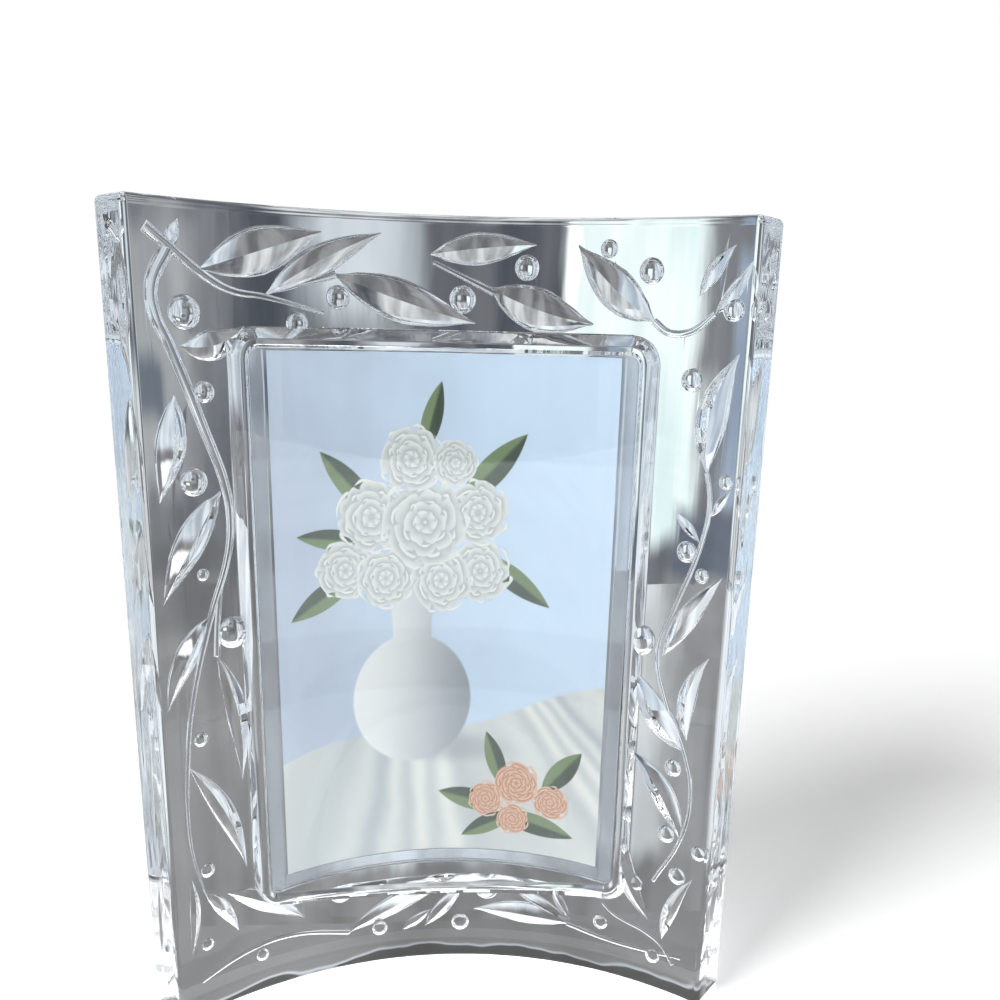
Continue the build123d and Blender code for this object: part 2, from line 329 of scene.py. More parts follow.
def press_tool(
    name: str, route: list[tuple[Vector, float]], section: list[Place], depth: float, steps: int
) -> bpy.types.Object:
    """A closed solid that runs along a smooth route, to be cut out of the back.

    Args:
        name: The tool's name.
        route: Its places and its half width at each.
        section: Its outline in half widths, with a depth of 1 at its deepest.
        depth: How deep it goes, as a share of its half width.
        steps: How many steps the route gets from one place to the next.

    Returns:
        The tool.
    """
    outline = bpy.data.curves.new(f"{name}_section", "CURVE")
    outline.dimensions = "2D"
    ring = outline.splines.new("POLY")
    ring.points.add(len(section) - 1)
    for point, (across, deep) in zip(ring.points, section):
        point.co = (across, deep, 0, 1)
    ring.use_cyclic_u = True
    profile = bpy.data.objects.new(f"{name}_section", outline)
    bpy.context.collection.objects.link(profile)

    line = bpy.data.curves.new(name, "CURVE")
    line.dimensions, line.twist_mode, line.resolution_u = "3D", "Z_UP", steps
    line.bevel_mode, line.bevel_object, line.use_fill_caps = "OBJECT", profile, True
    spline = line.splines.new("BEZIER")
    spline.radius_interpolation = "CARDINAL"
    spline.bezier_points.add(len(route) - 1)
    for point, (place, half_width) in zip(spline.bezier_points, route):
        point.co, point.radius = place, half_width
        point.handle_left_type = point.handle_right_type = "AUTO"
    tool = bpy.data.objects.new(name, line)
    bpy.context.collection.objects.link(tool)
    select_only(tool)
    bpy.ops.object.convert(target="MESH")
    tool = name_piece(name)
    tool.scale = (1, 1, depth)
    apply_place(tool)
    merge_and_turn_out(tool)
    bpy.data.curves.remove(outline)
    bpy.data.curves.remove(line)
    return tool


@dataclass(frozen=True)
class Leaf:
    """A pressed leaf: its base, its tip, and its width and sideways bow as shares of its length."""

    base_along: float
    base_up: float
    tip_along: float
    tip_up: float
    width: float
    bow: float

    def tool(self, back: Back, depth: float) -> bpy.types.Object:
        """The solid that presses this leaf into the back.

        Args:
            back: The back of the glass.
            depth: The depth of the midrib.

        Returns:
            The tool.
        """
        base, tip = back.at(self.base_along, self.base_up), back.at(self.tip_along, self.tip_up)
        run = tip - base
        across = Vector((-run.y, run.x, 0))
        half_width = self.width * run.length / 2
        route = []
        for share, fullness in LEAF_OUTLINE:
            middle = base + run * share + across * (4 * share * (1 - share) * self.bow)
            route.append((middle, half_width * fullness))
        deepest = min(depth, LEAF_STEEPNESS * half_width)
        return press_tool("leaf", route, LEAF_SECTION, deepest / half_width, LEAF_STEPS)


@dataclass(frozen=True)
class Berry:
    """A pressed berry: its place, and its width as a share of the largest one."""

    along: float
    up: float
    width: float


LEAVES = [
    Leaf(-0.740, 0.930, -0.380, 0.978, 0.31, 0.00),
    Leaf(-0.550, 0.905, -0.200, 0.980, 0.20, 0.03),
    Leaf(-0.340, 0.930, 0.090, 0.878, 0.25, -0.02),
    Leaf(-0.050, 0.958, 0.275, 0.972, 0.26, 0.01),
    Leaf(0.135, 0.920, 0.460, 0.880, 0.34, -0.04),
    Leaf(0.650, 0.885, 0.405, 0.972, 0.33, 0.04),
    Leaf(0.785, 0.915, 0.885, 0.972, 0.26, 0.05),
    Leaf(0.835, 0.895, 0.940, 0.955, 0.22, -0.05),
    Leaf(-0.810, 0.845, -0.620, 0.868, 0.40, -0.12),
    Leaf(-0.838, 0.790, -0.902, 0.668, 0.29, 0.03),
    Leaf(-0.715, 0.675, -0.914, 0.546, 0.24, -0.03),
    Leaf(-0.767, 0.523, -0.922, 0.412, 0.23, -0.06),
    Leaf(-0.755, 0.470, -0.695, 0.298, 0.16, 0.06),
    Leaf(-0.866, 0.330, -0.695, 0.172, 0.15, 0.06),
    Leaf(-0.844, 0.152, -0.735, 0.080, 0.22, 0.05),
    Leaf(-0.885, 0.176, -0.900, 0.070, 0.14, 0.04),
    Leaf(-0.766, 0.140, -0.502, 0.070, 0.22, 0.04),
    Leaf(0.848, 0.708, 0.920, 0.850, 0.26, 0.09),
    Leaf(0.840, 0.622, 0.750, 0.658, 0.24, 0.00),
    Leaf(0.870, 0.655, 0.928, 0.690, 0.26, 0.00),
    Leaf(0.745, 0.466, 0.923, 0.580, 0.20, 0.03),
    Leaf(0.848, 0.357, 0.902, 0.474, 0.20, 0.12),
    Leaf(0.843, 0.340, 0.650, 0.443, 0.29, 0.05),
    Leaf(0.852, 0.215, 0.655, 0.328, 0.24, -0.07),
    Leaf(0.762, 0.079, 0.642, 0.245, 0.17, 0.12),
    Leaf(0.812, 0.056, 0.907, 0.160, 0.18, 0.07),
    Leaf(0.461, 0.044, 0.115, 0.054, 0.22, -0.03),
    Leaf(0.461, 0.050, 0.241, 0.098, 0.18, 0.02),
    Leaf(0.470, 0.052, 0.395, 0.108, 0.22, 0.04),
    Leaf(-0.341, 0.032, 0.030, 0.098, 0.16, 0.03),
    Leaf(-0.065, 0.028, 0.080, 0.094, 0.22, 0.00),
    Leaf(-0.150, 0.024, -0.040, 0.054, 0.26, 0.00),
    Leaf(-0.832, 0.950, -0.796, 0.982, 0.42, 0.00),
]

BERRIES = [
    Berry(-0.794, 0.882, 0.93),
    Berry(-0.334, 0.904, 0.68),
    Berry(0.050, 0.906, 0.80),
    Berry(0.247, 0.945, 0.73),
    Berry(0.500, 0.968, 0.52),
    Berry(0.633, 0.943, 0.73),
    Berry(0.893, 0.900, 0.64),
    Berry(-0.461, 0.871, 0.66),
    Berry(-0.749, 0.793, 0.61),
    Berry(-0.795, 0.689, 0.82),
    Berry(-0.784, 0.576, 0.38),
    Berry(-0.700, 0.498, 1.00),
    Berry(-0.823, 0.365, 0.46),
    Berry(-0.829, 0.183, 0.48),
    Berry(-0.845, 0.076, 0.42),
    Berry(-0.656, 0.030, 0.43),
    Berry(-0.369, 0.099, 0.86),
    Berry(-0.231, 0.030, 0.55),
    Berry(0.064, 0.032, 0.64),
    Berry(0.161, 0.089, 0.88),
    Berry(0.583, 0.056, 0.53),
    Berry(0.783, 0.025, 0.52),
    Berry(0.699, 0.130, 0.62),
    Berry(0.852, 0.159, 0.62),
    Berry(0.920, 0.201, 0.50),
    Berry(0.801, 0.216, 0.61),
    Berry(0.809, 0.314, 0.59),
    Berry(0.666, 0.483, 1.00),
    Berry(0.857, 0.579, 0.46),
    Berry(0.802, 0.607, 0.65),
    Berry(0.911, 0.699, 0.44),
    Berry(0.779, 0.818, 0.67),
]


@dataclass(frozen=True)
class Stem:
    """A pressed stem: its width at its two ends in millimetres, and its places, along and up."""

    first_width: float
    last_width: float
    places: tuple[Place, ...]


TOP_TWIG: tuple[Place, ...] = (
    *((-0.894, 0.972), (-0.836, 0.955), (-0.722, 0.921)),
    *((-0.656, 0.908), (-0.554, 0.902), (-0.378, 0.885)),
)
LEFT_STEM: tuple[Place, ...] = (
    *((-0.832, 0.950), (-0.884, 0.910), (-0.878, 0.878), (-0.848, 0.851), (-0.758, 0.753)),
    *((-0.698, 0.677), (-0.690, 0.640), (-0.702, 0.599), (-0.767, 0.523), (-0.850, 0.402)),
    *((-0.871, 0.337), (-0.882, 0.273), (-0.875, 0.212), (-0.842, 0.150)),
)
RIGHT_STEM: tuple[Place, ...] = (
    *((0.848, 0.708), (0.864, 0.675), (0.849, 0.622), (0.776, 0.534), (0.728, 0.474)),
    *((0.764, 0.406), (0.843, 0.339), (0.876, 0.285), (0.858, 0.220), (0.767, 0.141)),
)
STEMS = [
    Stem(3.0, 1.0, TOP_TWIG),
    Stem(3.8, 0.5, LEFT_STEM),
    Stem(1.4, 1.2, RIGHT_STEM),
    Stem(1.4, 1.8, ((-0.730, 0.562), (-0.748, 0.510), (-0.755, 0.470))),
    Stem(1.2, 2.0, ((-0.448, 0.918), (-0.340, 0.930))),
    Stem(1.2, 2.0, ((-0.043, 0.949), (0.081, 0.927), (0.147, 0.915))),
    Stem(2.0, 1.6, ((0.649, 0.885), (0.700, 0.872), (0.770, 0.875), (0.835, 0.895))),
    Stem(1.2, 1.2, ((0.588, 0.088), (0.633, 0.074), (0.759, 0.058), (0.812, 0.046), (0.860, 0.022))),
    Stem(1.8, 1.0, ((0.461, 0.044), (0.600, 0.032), (0.738, 0.030), (0.887, 0.036))),
    Stem(1.0, 1.8, ((-0.872, 0.024), (-0.694, 0.044), (-0.560, 0.048), (-0.341, 0.032))),
]

# A leaf's outline: a place along its length, and how much of its full width it has there.
LEAF_OUTLINE: list[Place] = [
    *((0.0, 0.07), (0.13, 0.52), (0.34, 0.95), (0.58, 0.93), (0.82, 0.48), (1.0, 0.04)),
]

# Sections in half widths across and full depths down: a rounded rim, a short wall, then the floor.
RIM: list[Place] = [(1.10, -0.5), (1.10, 0.0), (1.045, 0.018), (1.005, 0.07)]
LEAF_FLOOR: list[Place] = [
    *((0.97, 0.16), (0.92, 0.25), (0.85, 0.33), (0.64, 0.51), (0.43, 0.68), (0.21, 0.85)),
]
STEM_FLOOR: list[Place] = [(0.99, 0.16), (0.92, 0.42), (0.76, 0.66), (0.50, 0.87), (0.25, 0.97)]

# The depth of a narrow leaf as a share of its half width, and how many steps a leaf and a stem
# have from one of their places to the next.
LEAF_STEEPNESS = 0.82
LEAF_STEPS, STEM_STEPS = 4, 6


def mirrored(half: list[Place]) -> list[Place]:
    """A whole section from its right half, with its deepest point in the middle."""
    return [(-across, deep) for across, deep in half] + [(0.0, 1.0)] + half[::-1]


LEAF_SECTION = mirrored(RIM + LEAF_FLOOR)
STEM_SECTION = mirrored(RIM + STEM_FLOOR)


@dataclass
class Vine:
    """The vine pressed into the back of the glass, seen from the front as clear relief."""

    back: Back
    leaf_depth: float = 3.8 * MM
    stem_steepness: float = 1.2
    largest_berry: float = 8.8 * MM
    berry_cap: float = radians(62)
    berry_sides: int = 24
    berry_rings: int = 7
    berry_rim: float = 0.08

    def stem_tools(self) -> list[bpy.types.Object]:
        """The solids that press the stems.

        Returns:
            The tools.
        """
        tools = []
        for stem in STEMS:
            last = len(stem.places) - 1
            route = []
            for number, place in enumerate(stem.places):
                width = stem.first_width + (stem.last_width - stem.first_width) * number / last
                route.append((self.back.at(*place), width * MM / 2))
            tools.append(press_tool("stem", route, STEM_SECTION, self.stem_steepness, STEM_STEPS))
        return tools

    def berry_tool(self) -> bpy.types.Object:
        """A domed tool of radius 1 with a rounded rim, from which every berry is copied.

        Returns:
            The tool.
        """
        overrun = 0.5
        rim, cap = self.berry_rim, self.berry_cap
        bpy.ops.object.select_all(action="DESELECT")
        bpy.ops.mesh.primitive_circle_add(
            vertices=self.berry_sides, radius=1 + rim, fill_type="NGON", location=(0, 0, -overrun)
        )
        tool = name_piece("berry")
        apply_place(tool)
        ball = 1 / sin(cap)
        rings = [(1 + rim, 0.0), (1 + rim / 3, rim / 4)]
        for ring in range(self.berry_rings):
            tilt = cap * (1 - ring / self.berry_rings)
            rings.append((ball * sin(tilt), rim + ball * (cos(tilt) - cos(cap))))
        bpy.ops.object.mode_set(mode="EDIT")
        bpy.ops.mesh.select_mode(type="FACE")
        bpy.ops.mesh.select_all(action="SELECT")
        radius, height = 1 + rim, -overrun
        for next_radius, next_height in rings:
            bpy.ops.mesh.extrude_region_move(TRANSFORM_OT_translate={"value": (0, 0, next_height - height)})
            scale = next_radius / radius
            bpy.ops.transform.resize(value=(scale, scale, 1))
            radius, height = next_radius, next_height
        crown = rim + ball * (1 - cos(cap))
        bpy.ops.mesh.extrude_region_move(TRANSFORM_OT_translate={"value": (0, 0, crown - height)})
        bpy.ops.mesh.merge(type="CENTER")
        bpy.ops.object.mode_set(mode="OBJECT")
        merge_and_turn_out(tool)
        return tool

    def berry_tools(self) -> list[bpy.types.Object]:
        """The solids that press the berries.

        Returns:
            The tools.
        """
        pattern = self.berry_tool()
        tools = []
        for berry in BERRIES:
            tool = pattern.copy()
            tool.data = pattern.data.copy()
            bpy.context.collection.objects.link(tool)
            radius = berry.width * self.largest_berry / 2
            tool.location, tool.scale = self.back.at(berry.along, berry.up), (radius, radius, radius)
            apply_place(tool)
            tools.append(tool)
        bpy.data.meshes.remove(pattern.data)
        return tools

    def tools(self) -> list[bpy.types.Object]:
        """All the solids that press the vine."""
        leaves = [leaf.tool(self.back, self.leaf_depth) for leaf in LEAVES]
        return leaves + self.stem_tools() + self.berry_tools()


# The glass and what it holds


@dataclass
class Sleeve:
    """The clear sleeve: two curved sheets, three strips between them, and the room for the print.

    Heights are above the table, and depths are distances behind the back of the glass.
    """

    curve: Curve
    print_width: float = 101.6 * MM
    print_height: float = 152.4 * MM
    print_thickness: float = 0.25 * MM
    print_base: float = 30 * MM
    side_clearance: float = 0.75 * MM
    face_clearance: float = 0.3 * MM
    headroom: float = 0.5 * MM
    strip_width: float = 4 * MM
    corner_radius: float = 2.5 * MM
    bond_line: float = 0.05 * MM
    seat_depth: float = 2 * MM
    front_thickness: float = 2 * MM
    back_thickness: float = 1.2 * MM
    notch_radius: float = 11 * MM
    notch_sides: int = 64
    edge_round: float = 0.2 * MM
    edge_steps: int = 2
    strip_step: float = 1.6 * MM

    def __post_init__(self) -> None:
        """Works out where each layer lies."""
        self.front_back = self.front_thickness + self.bond_line - self.seat_depth
        self.print_front = self.front_back + self.face_clearance
        self.print_back = self.print_front + self.print_thickness
        self.back_front = self.print_back + self.face_clearance
        self.strip_back = -self.back_front + self.bond_line
        self.strip_front = -self.front_back - self.bond_line
        self.base = self.print_base - self.strip_width
        self.top = self.print_base + self.print_height + self.headroom
        self.stretch = self.curve.radius / (self.curve.radius + (self.print_front + self.print_back) / 2)
        self.half_print = self.print_width / 2 * self.stretch
        self.half_slot = self.half_print + self.side_clearance * self.stretch
        self.half_width = self.half_slot + self.strip_width * self.stretch

    def sheet(self, name: str, front: float, back: float) -> bpy.types.Object:
        """One of the sleeve's two sheets, still flat.

        Args:
            name: The sheet's name.
            front: How far its front lies behind the back of the glass.
            back: How far its back lies there.

        Returns:
            The flat sheet.
        """
        sheet = flat_box(name, (-self.half_width, self.base, -back), (self.half_width, self.top, -front))
        round_corners(sheet, self.corner_radius)
        return sheet

    def finish(self, piece: bpy.types.Object) -> bpy.types.Object:
        """Rounds a flat piece's edges a little, then bends and smooths it.

        Args:
            piece: The flat piece.

        Returns:
            The same piece, finished.
        """
        round_edges(piece, self.edge_round, self.edge_steps)
        slice_upright(piece, self.strip_step)
        self.curve.bend(piece)
        self.curve.smooth(piece)
        return piece

    def front_sheet(self) -> bpy.types.Object:
        """The sheet in the seat of the glass, in front of the print.

        Returns:
            The sheet.
        """
        front = self.bond_line - self.seat_depth
        return self.finish(self.sheet("clear_front_sheet", front, self.front_back))

    def back_sheet(self) -> bpy.types.Object:
        """The sheet behind the print, with a half-round notch for a fingertip.

        Returns:
            The sheet.
        """
        sheet = self.sheet("clear_back_sheet", self.back_front, self.back_front + self.back_thickness)
        bpy.ops.object.select_all(action="DESELECT")
        bpy.ops.mesh.primitive_cylinder_add(
            vertices=self.notch_sides,
            radius=self.notch_radius,
            depth=self.back_thickness * 4,
            location=(0, self.top, -self.back_front),
        )
        cut_away(sheet, [name_piece("notch")])
        return self.finish(sheet)

    def side_strip(self, name: str, side: int) -> bpy.types.Object:
        """The spacer strip down one side.

        Args:
            name: The strip's name.
            side: -1 for the left side and 1 for the right side.

        Returns:
            The strip.
        """
        inner, outer = self.half_slot + self.bond_line, self.half_width
        left, right = sorted((side * inner, side * outer))
        strip = flat_box(name, (left, self.base, self.strip_back), (right, self.top, self.strip_front))
        round_corners(strip, self.corner_radius, (side,))
        return self.finish(strip)

    def bottom_strip(self) -> bpy.types.Object:
        """The spacer strip that the print stands on.

        Returns:
            The strip.
        """
        lowest = (-self.half_slot, self.base, self.strip_back)
        highest = (self.half_slot, self.print_base, self.strip_front)
        return self.finish(flat_box("clear_bottom_strip", lowest, highest))

    def print_sheet(self) -> bpy.types.Object:
        """The print, bent to the sleeve, with its picture's map laid over it.

        Returns:
            The print.
        """
        left, right = -self.half_print, self.half_print
        low, high = self.print_base, self.print_base + self.print_height
        sheet = flat_box("photo_print_sheet", (left, low, -self.print_back), (right, high, -self.print_front))
        slice_upright(sheet, self.strip_step)
        while sheet.data.uv_layers:
            sheet.data.uv_layers.remove(sheet.data.uv_layers[0])
        layer = sheet.data.uv_layers.new(name="picture")
        for loop in sheet.data.loops:
            place = sheet.data.vertices[loop.vertex_index].co
            layer.data[loop.index].uv = ((place.x - left) / (right - left), (place.y - low) / (high - low))
        for face in sheet.data.polygons:
            face.material_index = 0 if face.normal.z > TO_FRONT else 1
        self.curve.bend(sheet)
        self.curve.smooth(sheet)
        return sheet


@dataclass
class Glass:
    """The moulded slab, with the seat for the sleeve and the vine pressed into its back."""

    height: float = 217 * MM
    thickness: float = 14 * MM
    front_radius: float = 110 * MM
    front_chord: float = 146 * MM
    edge_round: float = 1.7 * MM
    edge_steps: int = 4
    strip_step: float = 1.5 * MM
    seat_margin: float = 0.25 * MM
    channel_depth: float = 3.5 * MM
    channel_floor: float = 0.4 * MM
    channel_inner_slope: float = 1.0 * MM
    channel_outer_slope: float = 3.5 * MM
    channel_corner: float = 7.5 * MM
    rim_round: float = 0.5 * MM
    overrun: float = 1.0 * MM

    @property
    def back_radius(self) -> float:
        """The radius of the back."""
        return self.front_radius + self.thickness

    @property
    def half_angle(self) -> float:
        """Half the angle that the slab spans."""
        return asin(self.front_chord / 2 / self.front_radius)

    @property
    def back(self) -> Back:
        """The flat back of the slab."""
        return Back(self.half_angle * self.back_radius, self.height)

    def slab(self) -> bpy.types.Object:
        """The flat slab with its polished edges rounded.

        Returns:
            The slab.
        """
        half = self.back.half_length
        slab = flat_box("moulded_glass", (-half, 0, 0), (half, self.height, self.thickness))
        round_edges(slab, self.edge_round, self.edge_steps)
        slice_upright(slab, self.strip_step)
        return slab

    def seat_tool(self, sleeve: Sleeve) -> bpy.types.Object:
        """What the seat and the channel round it take out of the back.

        Args:
            sleeve: The sleeve that the seat holds.

        Returns:
            The tool.
        """
        reach = self.seat_margin + self.channel_inner_slope + self.channel_floor + self.channel_outer_slope
        rim = reach + self.rim_round
        tool = flat_box(
            "seat",
            (-sleeve.half_width - rim, sleeve.base - rim, -self.overrun),
            (sleeve.half_width + rim, sleeve.top + rim, 0),
        )
        round_corners(tool, self.channel_corner + self.rim_round)
        edit_where(tool, "FACE", lambda face: face.normal.z > TO_FRONT)
        rise = self.channel_depth - sleeve.seat_depth
        bend = self.rim_round
        # From the rim to the seat, how far each step goes inwards and how far it goes deeper.
        steps = [
            (0.5 * bend, 0.12 * bend),
            (0.5 * bend, 0.4 * bend),
            (self.channel_outer_slope - 2 * bend, self.channel_depth - 1.2 * bend),
            (0.8 * bend, 0.5 * bend),
            (self.channel_floor + 1.2 * bend, 0.18 * bend),
            (0.15 * bend, -0.4 * bend),
            (self.channel_inner_slope - 0.5 * bend, -rise + 0.9 * bend),
            (0.35 * bend, -0.5 * bend),
        ]
        for inwards, deeper in steps:
            bpy.ops.mesh.inset(thickness=inwards, depth=deeper, use_even_offset=True)
        bpy.ops.object.mode_set(mode="OBJECT")
        merge_and_turn_out(tool)
        return tool

    def build(self, curve: Curve, sleeve: Sleeve) -> bpy.types.Object:
        """The finished slab.

        Args:
            curve: The curve that it is bent to.
            sleeve: The sleeve that its seat holds.

        Returns:
            The slab.
        """
        slab = self.slab()
        cut_away(slab, [self.seat_tool(sleeve)] + Vine(self.back).tools())
        curve.bend(slab)
        curve.smooth(slab)
        return slab


# Materials


class Socket:
    """A socket in a node tree, so that shader maths reads as plain expressions."""

    def __init__(self, tree: "NodeTree", socket: bpy.types.NodeSocket) -> None:
        """Wraps a socket.

        Args:
            tree: The tree that the socket is in.
            socket: The socket.
        """
        self.tree = tree
        self.socket = socket

    def maths(self, operation: str, *others: "Socket | float") -> "Socket":
        """This value and others through a Math node.

        Args:
            operation: The node's operation.
            others: The other values.

        Returns:
            The result.
        """
        return self.tree.node("ShaderNodeMath", dict(enumerate((self, *others))), operation=operation)

    def __add__(self, other: "Socket | float") -> "Socket":
        """The sum."""
        return self.maths("ADD", other)

    __radd__ = __add__

    def __mul__(self, other: "Socket | float") -> "Socket":
        """The product."""
        return self.maths("MULTIPLY", other)

    __rmul__ = __mul__

    def __sub__(self, other: "Socket | float") -> "Socket":
        """This less the other."""
        return self.maths("SUBTRACT", other)

    def __rsub__(self, other: float) -> "Socket":
        """The other less this."""
        return self.maths("MULTIPLY", -1.0) + other

    def __truediv__(self, other: "Socket | float") -> "Socket":
        """The quotient."""
        return self.maths("DIVIDE", other)

    def __pow__(self, other: float) -> "Socket":
        """This to a power."""
        return self.maths("POWER", other)

    def abs(self) -> "Socket":
        """The size without its sign."""
        return self.maths("ABSOLUTE")

    def step(self, low: float, high: float) -> "Socket":
        """A smooth step from 0 at low to 1 at high, where low may be the larger."""
        values = {0: self, 1: low, 2: high, 3: 0.0, 4: 1.0}
        return self.tree.node("ShaderNodeMapRange", values, interpolation_type="SMOOTHSTEP")


class NodeTree:
    """A node tree that is filled by expressions."""

    def __init__(self, tree: bpy.types.ShaderNodeTree) -> None:
        """Empties a tree and takes it over.

        Args:
            tree: The tree.
        """
        self.tree = tree
        self.tree.nodes.clear()

    def node(self, kind: str, values: Values | None = None, out: str | int = 0, **settings: object) -> Socket:
        """Adds any node.

        Args:
            kind: The node's type.
            values: Values or links of its sockets, by name or number.
            out: The output to return.
            settings: Its settings, which are set first.

        Returns:
            One of its outputs.
        """
        node = self.tree.nodes.new(kind)
        for setting, value in settings.items():
            setattr(node, setting, value)
        for key, value in (values or {}).items():
            if isinstance(value, Socket):
                self.tree.links.new(value.socket, node.inputs[key])
            else:
                node.inputs[key].default_value = value
        return Socket(self, node.outputs[out])

    def parts(self, place: Socket) -> list[Socket]:
        """The x, y and z of a place."""
        first = self.node("ShaderNodeSeparateXYZ", {0: place})
        return [Socket(self, output) for output in first.socket.node.outputs]

    def noise(self, place: Socket, scale: float, detail: float, roughness: float = 0.5) -> Socket:
        """A noise over a place, from 0 to 1.

        Args:
            place: The place.
            scale: How many times it changes in one unit of the place.
            detail: How many finer layers it has.
            roughness: How strong the finer layers are.

        Returns:
            The noise.
        """
        values = {"Vector": place, "Scale": scale, "Detail": detail, "Roughness": roughness}
        return self.node("ShaderNodeTexNoise", values)

    def mix(self, share: Socket | float, first: Socket | Colour, second: Socket | Colour) -> Socket:
        """A mix of two colours.

        Args:
            share: How much of the second colour there is.
            first: The first colour.
            second: The second colour.

        Returns:
            The mixed colour.
        """
        colours = [colour if isinstance(colour, Socket) else as_rgba(colour) for colour in (first, second)]
        values = {0: share, 6: colours[0], 7: colours[1]}
        return self.node("ShaderNodeMix", values, out=2, data_type="RGBA")

    def output(self, shader: Socket, kind: str = "ShaderNodeOutputMaterial") -> None:
        """Ends the tree in its output node."""
        node = self.tree.nodes.new(kind)
        self.tree.links.new(shader.socket, node.inputs["Surface"])

    def principled(self, values: Values) -> None:
        """Ends the tree in a Principled shader with some values or links of its sockets."""
        self.output(self.node("ShaderNodeBsdfPrincipled", values))


def new_material(name: str) -> tuple[bpy.types.Material, NodeTree]:
    """A new material and its tree.

    Args:
        name: The material's name.

    Returns:
        The material and its empty tree.
    """
    material = bpy.data.materials.new(name)
    material.use_nodes = True
    return material, NodeTree(material.node_tree)


@dataclass(frozen=True)
class GlassFinish:
    """Clear moulded glass, polished by fire, with the slow waves that pressing leaves.

    The waves fade in between the two heights of calm_foot. The streaks fade in between the two
    angles of end_angles, 1.5 mm before the end faces, on their rounded edges.
    """

    tint: Colour = (0.955, 0.975, 0.978)
    ior: float = 1.52
    roughness: float = 0.0
    wave_size: float = 9 * MM
    wave_stretch: float = 0.45
    wave_height: float = 0.03 * MM
    calm_foot: Place = (2 * MM, 16 * MM)
    streak_size: float = 3.5 * MM
    streak_stretch: float = 0.09
    streak_height: float = 0.45 * MM
    end_angles: Place = (0.7246, 0.7252)

    def end_streaks(self, tree: NodeTree, place: Socket) -> Socket:
        """Upright ripples on the two end faces, which weren't pressed by a polished mould.

        Args:
            tree: The glass's tree.
            place: The place on the glass.

        Returns:
            Their height, in heights of a wave.
        """
        x, y, z = tree.parts(place)
        behind = y - RING_Y
        on_end = x.abs().maths("ARCTAN2", behind).step(*self.end_angles)
        values = {0: (x * x + behind * behind) ** 0.5, 1: x.maths("SIGN"), 2: self.streak_stretch * z}
        ripples = tree.noise(tree.node("ShaderNodeCombineXYZ", values), 1 / self.streak_size, 1.0)
        return on_end * ripples * (self.streak_height / self.wave_height)

    def material(self) -> bpy.types.Material:
        """The glass's material, with waves that calm down towards its foot.

        Returns:
            The material.
        """
        material, tree = new_material("moulded_glass")
        place = tree.node("ShaderNodeTexCoord", out="Object")
        shape = {"Vector": place, "Scale": (1, 1, self.wave_stretch)}
        waves = tree.noise(tree.node("ShaderNodeMapping", shape), 1 / self.wave_size, 1.0, roughness=0.4)
        height = waves * tree.parts(place)[2].step(*self.calm_foot) + self.end_streaks(tree, place)
        relief = {"Strength": 1.0, "Distance": self.wave_height, "Height": height}
        tree.principled(
            {
                "Base Color": as_rgba(self.tint),
                "Roughness": self.roughness,
                "IOR": self.ior,
                "Transmission Weight": 1.0,
                "Normal": tree.node("ShaderNodeBump", relief),
            }
        )
        return material


@dataclass(frozen=True)
class ClearPlasticFinish:
    """The clear plastic of the sleeve."""

    name: str
    tint: Colour = (0.975, 0.985, 0.992)
    clearness: float = 1.0
    ior: float = 1.49
    roughness: float = 0.02

    def material(self) -> bpy.types.Material:
        """The plastic's material.

        Returns:
            The material.
        """
        material, tree = new_material(self.name)
        tree.principled(
            {
                "Base Color": as_rgba(self.tint),
                "Roughness": self.roughness,
                "IOR": self.ior,
                "Transmission Weight": self.clearness,
            }
        )
        return material


